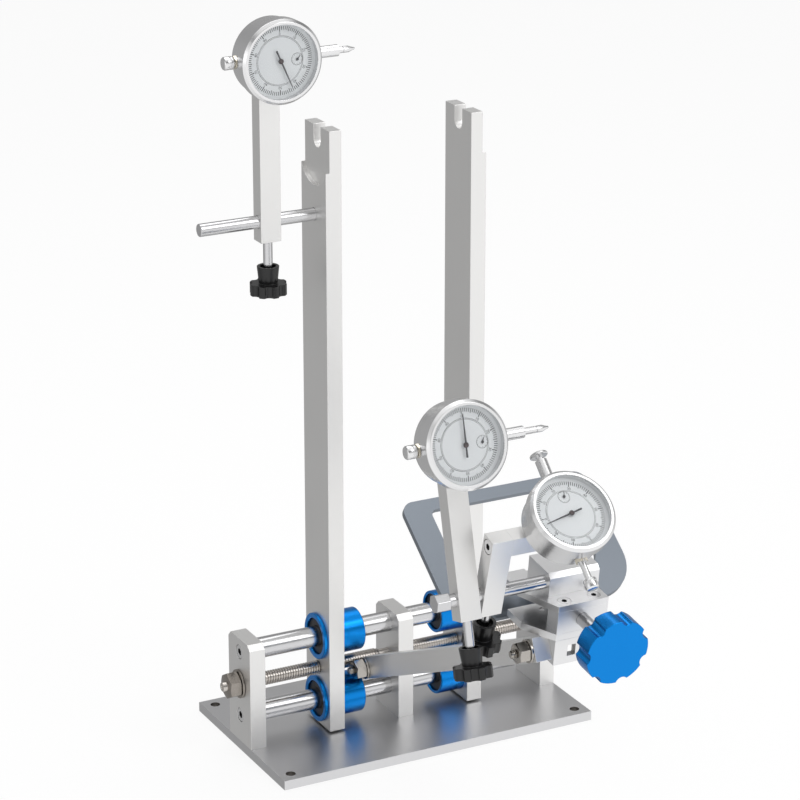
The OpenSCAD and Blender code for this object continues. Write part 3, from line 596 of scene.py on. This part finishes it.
def lead_screw():
    """Left-hand and right-hand threads with plain journals between and beside them."""
    axis = Vector(joints["lead_screw_turn"]["pos_m"])
    low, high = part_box("lead_screw")
    plain, gap, taper = 8 * MM, 0.5 * MM, 0.4 * MM
    outer, root, journal, pitch, depth = 5 * MM, 4.1 * MM, 3.5 * MM, 2 * MM, 0.9 * MM
    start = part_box("middle_block")[1].x + plain
    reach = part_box("right_block")[0].x - gap - start
    parts = []
    for side in (-1, 1):
        place = frame_on(axis + X * side * start, X * side, up=Y)
        parts.append(thread("thread", place, reach, outer, pitch, depth, hand=side))
        core = [(journal, -taper), (root, 0), (root, reach), (journal, reach + taper)]
        parts.append(turned("core", core, place))
    place = frame_on(Vector((low.x, axis.y, axis.z)), X, up=Y)
    length = high.x - low.x
    centre_hole = 1.2 * MM
    shaft = [(0, centre_hole), (1.1 * MM, centre_hole), (1.5 * MM, 0.1 * MM)]
    shaft += [(journal - 0.9 * MM, 0), (journal - 0.3 * MM, 0.25 * MM), (journal, 0.9 * MM)]
    shaft += [(journal, length - 0.5 * MM), (journal - 0.5 * MM, length), (0, length)]
    parts.append(turned("shaft", shaft, place))
    ride_with(joined("lead_screw.threads", parts), "lead_screw", "turned_steel")


def drive_nut():
    """The drive hexagon and its washer."""
    axis = Vector(joints["lead_screw_turn"]["pos_m"])
    low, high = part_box("drive_nut")
    across, washer, bore = 17 * MM, 1.6 * MM, 3.5 * MM
    nut = high.x - low.x - washer
    place = frame_on(Vector((low.x, axis.y, axis.z)), X, up=Y)
    parts = [hexagon("nut", place, across, nut, bore)]
    seat = frame_on(Vector((low.x + nut, axis.y, axis.z)), X, up=Y)
    parts.append(disc_with_edge("washer", seat, (high.z - low.z) / 2, washer, bore))
    ride_with(joined("drive_nut.hexagon", parts), "drive_nut", "oiled_steel")


def swing_bolt(node):
    """A bolt along X: head on the right, then shank, washer, nut and a threaded end on the left."""
    low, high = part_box(node)
    centre = (low + high) / 2
    shank, across, head, washer, nut, stub = 3 * MM, 13 * MM, 4 * MM, 1.6 * MM, 8 * MM, 4 * MM
    overhang, pitch, depth, tip = 1.5 * MM, 1 * MM, 0.6 * MM, 0.3 * MM

    def at(x):
        return frame_on(Vector((x, centre.y, centre.z)), X, up=Y)

    nut_x = low.x + stub
    parts = [hexagon("nut", at(nut_x), across, nut, shank)]
    parts.append(disc_with_edge("washer", at(nut_x + nut), across / 2 + overhang, washer, shank))
    parts.append(hexagon("head", at(high.x - head), across, head, 0))
    parts.append(turned("shank", [(shank, 0), (shank, high.x - head - nut_x)], at(nut_x)))
    root = shank - 0.65 * MM
    end = [(0, 0), (root - 0.45 * MM, 0), (root, 0.35 * MM), (root, stub + 0.5 * MM)]
    parts.append(turned("end", end, at(low.x)))
    parts.append(thread("thread", at(low.x + tip), stub, shank, pitch, depth, lead_in=0.7))
    ride_with(joined(node + ".bolt", parts), node, "worn_steel")


def plain_parts():
    """The CAD's own shapes, with broken edges and their finishes."""
    for node in ("left_block", "middle_block", "right_block"):
        soft_edges(node, "blasted_aluminium", 0.45 * MM)
    # The bench holes' walls get a painted shade.
    paint_hole_shade(soft_edges("base_plate", "base_aluminium", 0.5 * MM))
    for side in ("left", "right"):
        soft_edges(side + "_upright", "blasted_aluminium", 0.45 * MM)
        soft_edges(side + "_housings", "blue_anodised", 0.9 * MM, rounds=4)
        soft_edges(side + "_bushings", "bushing_plastic", 0.5 * MM)
    # Socket screws get a painted shade in their hexagons, here and below.
    paint_socket_shade(soft_edges("frame_screws", "satin_chrome", 0.25 * MM), FRAME_SOCKET)
    soft_edges("guide_rods", "polished_steel", 0.4 * MM)
    soft_edges("rotor_shaft", "polished_steel", 0.6 * MM, rounds=3)
    soft_edges("gauge_shaft", "polished_steel", 0.5 * MM)
    for node in ("rotor_arm", "lateral_arm", "radial_arm", "radial_cross_bar", "swing_arm"):
        soft_edges(node, "blasted_aluminium", 0.35 * MM)
    for node in ("carriage_bracket", "carriage_block", "carriage_plates", "slider_block"):
        soft_edges(node, "satin_aluminium", 0.3 * MM)
    soft_edges("hoop_plate", "hoop_anodised", 0.5 * MM)
    paint_socket_shade(soft_edges("carriage_screws", "satin_chrome", 0.2 * MM), CARRIAGE_SOCKET)
    paint_socket_shade(soft_edges("radial_joint_screw", "satin_chrome", 0.25 * MM), JOINT_SOCKET)
    soft_edges("adjuster_screw", "dark_chrome", 0.3 * MM)
    soft_edges("adjuster_knob", "blue_anodised", 1.0 * MM, rounds=4)
    for gauge in DIALS:
        soft_edges(gauge + "_clamp_screw", "polished_steel", 0.3 * MM)
        soft_edges(gauge + "_clamp_knob", "black_plastic", 0.6 * MM, rounds=3)
    soft_edges("slider_lock_knob", "black_plastic", 0.5 * MM, rounds=3)


# ---- Dial gauges ----

# All in mm. How far prints and paint stand out of what they lie on:
PRINT, PAINT = 0.02, 0.04
# What lies outside this radius tells how far back a dial's case reaches:
RIM_RADIUS = 26.5
# The fixed middle of the face and the circle line on it:
PLATE_RADIUS, PLATE_DEPTH, CIRCLE_RADIUS = 16.6, 0.3, 16.1
# The turning ring's scale: lengths and widths of its ticks, and its numbers:
DIVISIONS, NUMBERS = 100, 10
TICK_END = 23.4
ONE_TICK, FIVE_TICK, TEN_TICK = 2.5, 3.1, 3.7
THIN_TICK, THICK_TICK = 0.45, 0.6
NUMBER_RADIUS, NUMBER_SIZE = 18.2, 2.6
# The turn counter's scale:
COUNTER_AT, COUNTER_RADIUS, COUNTER_TICKS = (12.5, 0), 4.1, 20
LONG_COUNT, SHORT_COUNT, FINE_LINE = 1.1, 0.6, 0.2


class Dial:
    """A dial's own frame in mm: X to the plunger's tip, Y up on the face, Z out of the face."""

    def __init__(self, gauge):
        self.gauge = gauge
        self.centre = Vector(joints[gauge + "_pointer_turn"]["pos_m"])
        self.normal = Vector(joints[gauge + "_pointer_turn"]["axis"]).normalized()
        self.right = Vector(joints[gauge + "_plunger_travel"]["axis"]).normalized()
        self.up = self.right.cross(-self.normal)
        turn = Matrix((self.right, self.up, self.normal)).transposed().to_4x4()
        self.face = Matrix.Translation(self.centre) @ turn @ Matrix.Scale(MM, 4)

    def reach(self, part, axis):
        """How far a part of the dial reaches along axis from the dial's centre, in mm."""
        mesh = nodes[f"{self.gauge}_dial_{part}"].data
        return max((v.co - self.centre).dot(axis) for v in mesh.vertices) / MM

    def case_back(self):
        """The height of the case's back: the lowest point outside RIM_RADIUS."""
        mesh = nodes[f"{self.gauge}_dial_case"].data
        rim = []
        for vertex in mesh.vertices:
            spot = vertex.co - self.centre
            height = spot.dot(self.normal)
            if (spot - self.normal * height).length > RIM_RADIUS * MM:
                rim.append(height)
        return min(rim) / MM

    def span(self, part, axis):
        return -self.reach(part, -axis), self.reach(part, axis)

    def name(self, piece):
        return f"{self.gauge}_dial_{piece}"

    def lathe_out(self, piece, profile, part, finish, at=(0, 0)):
        """Adds a turned piece about the face's normal, riding with a part of the dial."""
        place = self.face @ Matrix.Translation((at[0], at[1], 0))
        made = new_piece(self.name(piece), turned(piece, profile, place, 96))
        ride_with(made, self.name(part), finish, False)


def bar_mark(angle, inner, outer, width, level):
    """A tick on the face as a flat four-sided mark; the angle runs clockwise from the top."""
    along = Vector((sin(angle), cos(angle), 0))
    across = Vector((cos(angle), -sin(angle), 0)) * width / 2
    near, far = along * inner + Z * level, along * outer + Z * level
    return [near - across, near + across, far + across, far - across]


def ring_mark(radius, width, level, steps=96, at=(0, 0)):
    """A circle line on the face."""
    verts, faces = [], []
    for i in range(steps):
        angle = tau * i / steps
        for r in (radius - width / 2, radius + width / 2):
            verts.append((at[0] + r * cos(angle), at[1] + r * sin(angle), level))
    for i in range(steps):
        a, b = 2 * i, 2 * ((i + 1) % steps)
        faces.append((a, a + 1, b + 1, b))
    return verts, faces


def numeral(dial, text, size, at, angle, level):
    """A plain number as a flat mesh in face coordinates, turned by angle."""
    curve = bpy.data.curves.new("numeral", "FONT")
    curve.body = text
    curve.size = size
    curve.align_x, curve.align_y = "CENTER", "CENTER"
    holder = new_piece("numeral", curve)
    evaluated = holder.evaluated_get(bpy.context.evaluated_depsgraph_get())
    mesh = bpy.data.meshes.new_from_object(evaluated)
    bpy.data.objects.remove(holder)
    place = dial.face @ Matrix.Translation((at[0], at[1], level))
    mesh.transform(place @ Matrix.Rotation(-angle, 4, "Z"))
    return mesh


def ring_scale(dial):
    """A hundred divisions with numbers, printed on the ring that turns with the bezel."""
    level = dial.reach("face", dial.normal) + PRINT
    verts, faces = [], []
    for i in range(DIVISIONS):
        length = TEN_TICK if i % 10 == 0 else FIVE_TICK if i % 5 == 0 else ONE_TICK
        width = THICK_TICK if i % 10 == 0 else THIN_TICK
        faces.append(tuple(range(len(verts), len(verts) + 4)))
        verts += bar_mark(tau * i / DIVISIONS, TICK_END - length, TICK_END, width, level)
    ticks = mesh_from("ticks", [dial.face @ Vector(v) for v in verts], faces, smooth=False)
    numbers = []
    for i in range(NUMBERS):
        angle = tau * i / NUMBERS
        at = (NUMBER_RADIUS * sin(angle), NUMBER_RADIUS * cos(angle))
        numbers.append(numeral(dial, str(DIVISIONS // NUMBERS * i), NUMBER_SIZE, at, angle, level))
    ride_with(joined(dial.name("scale"), [ticks, *numbers]), dial.name("face"), "dial_ink", False)


def middle_plate(dial):
    """The white fixed middle of the face, with its circle and the turn counter's scale."""
    level = dial.reach("face", dial.normal)
    plate = [(0, level + PAINT), (PLATE_RADIUS, level + PAINT), (PLATE_RADIUS, level - PLATE_DEPTH)]
    dial.lathe_out("plate", plate, "case", "dial_white")
    ink = level + PAINT + PRINT
    parts = []
    for radius, at in ((CIRCLE_RADIUS, (0, 0)), (COUNTER_RADIUS, COUNTER_AT)):
        verts, faces = ring_mark(radius, FINE_LINE, ink, at=at)
        verts = [dial.face @ Vector(v) for v in verts]
        parts.append(mesh_from("circle", verts, faces, smooth=False))
    verts, faces = [], []
    for i in range(COUNTER_TICKS):
        inner = COUNTER_RADIUS - (LONG_COUNT if i % 2 == 0 else SHORT_COUNT)
        for v in bar_mark(tau * i / COUNTER_TICKS, inner, COUNTER_RADIUS, FINE_LINE, ink):
            verts.append(dial.face @ (v + Vector((*COUNTER_AT, 0))))
        faces.append(tuple(range(4 * i, 4 * i + 4)))
    parts.append(mesh_from("ticks", verts, faces, smooth=False))
    ride_with(joined(dial.name("counter_scale"), parts), dial.name("case"), "dial_ink", False)


def hand_cap(dial):
    """The dark red cap on the hand's pin."""
    top = dial.reach("pointer", dial.normal)
    cap = [(0, top + 0.6), (1.1, top + 0.55), (1.5, top + 0.3), (1.7, top - 0.1), (0, top - 0.1)]
    dial.lathe_out("hand_cap", cap, "pointer", "hand_red")


def spindle(dial):
    """The plunger with its grooved cap and its screwed-in contact, pointed or flat."""
    low, high = dial.span("plunger", dial.right)
    rod, cap = 2.25, 7.0
    grooved = [(0, 0), (3.2, 0), (4.0, 0.35), (4.5, 1.1), (4.5, 3.9), (4.1, 4.2), (4.1, 4.7)]
    grooved += [(4.5, 5.0), (4.5, cap - 0.6), (4.1, cap), (rod, cap)]
    flat = [(rod, 2), (5.5, 2), (6.0, 1.6), (6.0, 0.5), (5.5, 0), (0, 0)]
    pointed = [(rod, 10), (1.8, 9.7), (1.8, 9.2), (rod, 8.9), (rod, 5.0), (1.0, 1.6), (0.95, 1.0)]
    pointed += [(0.7, 0.35), (0.3, 0.05), (0, 0)]
    contact = flat if dial.gauge == "radial" else pointed
    profile = [(radius, low + height) for radius, height in grooved]
    profile += [(radius, high - height) for radius, height in contact]
    place = dial.face @ frame_on(Vector(), X, up=Z)
    made = new_piece(dial.name("spindle"), turned("spindle", profile, place, 64))
    ride_with(made, dial.name("plunger"), "satin_chrome")


def cap_collar(dial):
    """The brassy hexagon round the collar on the cap's side of the case."""
    inset, across, height, bore = 0.25, 8, 2.5, 3.3
    low = -dial.reach("case", -dial.right)
    place = dial.face @ frame_on(Vector((low + inset, 0, 0)), X, up=Z)
    collar = hexagon("collar", place, across, height, bore, chamfer=0.4)
    ride_with(new_piece(dial.name("cap_collar"), collar), dial.name("case"), "brassy", False)


def back_screws(dial):
    """Four low screws that hold the case's back."""
    spread = 15
    back = dial.case_back()
    head = [(0, 0.2), (0.7, 0.2), (0.9, 0.5), (1.6, 0.5), (1.8, 0.3), (1.8, -0.2)]
    profile = [(radius, back - height) for radius, height in head]
    corners = [(side * spread, end * spread) for side in (-1, 1) for end in (-1, 1)]
    for count, corner in enumerate(corners):
        dial.lathe_out(f"back_screw.{count}", profile, "case", "polished_steel", at=corner)


def dial(gauge):
    made = Dial(gauge)
    soft_edges(made.name("case"), "satin_chrome", 0.3 * MM)
    soft_edges(made.name("bezel"), "satin_chrome", 0.35 * MM, rounds=3, corner=25)
    soft_edges(made.name("face"), "dial_white", 0.05 * MM)
    soft_edges(made.name("crystal"), "crystal", 0.1 * MM)
    soft_edges(made.name("pointer"), "dial_ink", 0.05 * MM)
    soft_edges(made.name("counter"), "dial_ink", 0.03 * MM)
    ring_scale(made)
    middle_plate(made)
    hand_cap(made)
    spindle(made)
    cap_collar(made)
    back_screws(made)


# ---- Studio ----

# Fitted to the photograph's edges; the lens and its sensor in mm.
CAMERA_LENS, CAMERA_SENSOR = 143.66, 36
CAMERA_PLACE = Vector((-0.9761, -1.8886, 1.0077))
CAMERA_RIGHT = Vector((0.8875, -0.4608, 0))
CAMERA_UP = Vector((0.1555, 0.2995, 0.9414))


def camera():
    """The photograph's view."""
    lens = bpy.data.cameras.new("camera")
    lens.sensor_width = CAMERA_SENSOR
    lens.lens = CAMERA_LENS
    lens.clip_start, lens.clip_end = 0.05, 30
    holder = bpy.data.objects.new("camera", lens)
    bpy.context.scene.collection.objects.link(holder)
    back = CAMERA_RIGHT.cross(CAMERA_UP).normalized()
    turn = Matrix((CAMERA_RIGHT, CAMERA_UP, back)).transposed().to_4x4()
    holder.matrix_world = Matrix.Translation(CAMERA_PLACE) @ turn
    bpy.context.scene.camera = holder


def world():
    """White for the camera, even light on surfaces, and a soft studio in what metal mirrors."""
    studio = bpy.data.worlds.new("studio")
    bpy.context.scene.world = studio
    finish = Finish(studio)
    path = finish.node("LightPath").outputs
    direction = finish.node("TexCoord").outputs["Generated"]
    toward = finish.node("SeparateXYZ", {}, {"Vector": direction}).outputs
    depth, height = (Value(finish, toward[axis]) for axis in "YZ")
    front = (depth * -1).smooth(-0.75, 0.55)
    overhead = height.smooth(0.62, 0.84)
    above = height.smooth(0.08, 0.42)
    # Brightness in a mirror's view of the ceiling, and what lights dull surfaces evenly.
    ceiling, even = 0.95, 0.62
    room = 0.36 - front * 0.14
    ground = 0.42 + front * 0.66
    mirrored = ground + (room - ground) * above
    mirrored = mirrored + (ceiling - mirrored) * overhead
    strength = even + (mirrored - even) * Value(finish, path["Is Glossy Ray"])
    seen = Value(finish, path["Is Camera Ray"])
    strength = strength + (1.0 - strength) * seen
    background = finish.tree.nodes["Background"]
    finish.feed(background.inputs["Strength"], strength)
    finish.feed(background.inputs["Color"], colour(1, 1, 1))


def floor():
    """A pale floor that fades into the white background and keeps the stand's shadow."""
    size, fade = 6.0, 0.8
    corners = [(-size, -size, 0), (size, -size, 0), (size, size, 0), (-size, size, 0)]
    mesh = mesh_from("floor", corners, [(0, 1, 2, 3)])
    ground = new_piece("floor", mesh)
    finish = surface("floor_white", Base_Color=colour(0.86, 0.86, 0.86), Roughness=0.9)
    glow = finish.node("Emission", {}, {"Color": colour(1, 1, 1), "Strength": 1.05})
    blend = finish.node("MixShader")
    seen = Value(finish, finish.node("LightPath").outputs["Is Camera Ray"])
    for place, value in enumerate((seen * fade, finish.shader.outputs[0], glow.outputs[0])):
        finish.feed(blend.inputs[place], value)
    finish.feed(finish.tree.nodes["Material Output"].inputs["Surface"], blend.outputs[0])
    ground.data.materials.append(finish.owner)
    ground.visible_glossy = False


def lamp(name, place, target, width, power):
    light = bpy.data.lights.new(name, "AREA")
    light.shape = "SQUARE"
    light.size = width
    light.energy = power
    holder = bpy.data.objects.new(name, light)
    bpy.context.scene.collection.objects.link(holder)
    place, target = Vector(place), Vector(target)
    holder.matrix_world = frame_on(place, place - target)


def studio():
    bpy.context.scene.view_settings.view_transform = "Standard"
    camera()
    world()
    floor()
    middle = (0, -0.05, 0.25)
    lamp("key", (0.9, -1.5, 1.7), middle, width=1.2, power=12)
    lamp("fill", (-1.6, -0.6, 1.0), middle, width=1.2, power=2.5)
    lamp("top", (0.1, 0.5, 2.0), middle, width=1.4, power=8)


plain_parts()
lead_screw()
drive_nut()
swing_bolt("pivot_bolt")
swing_bolt("arm_end_bolt")
for gauge in DIALS:
    dial(gauge)
studio()
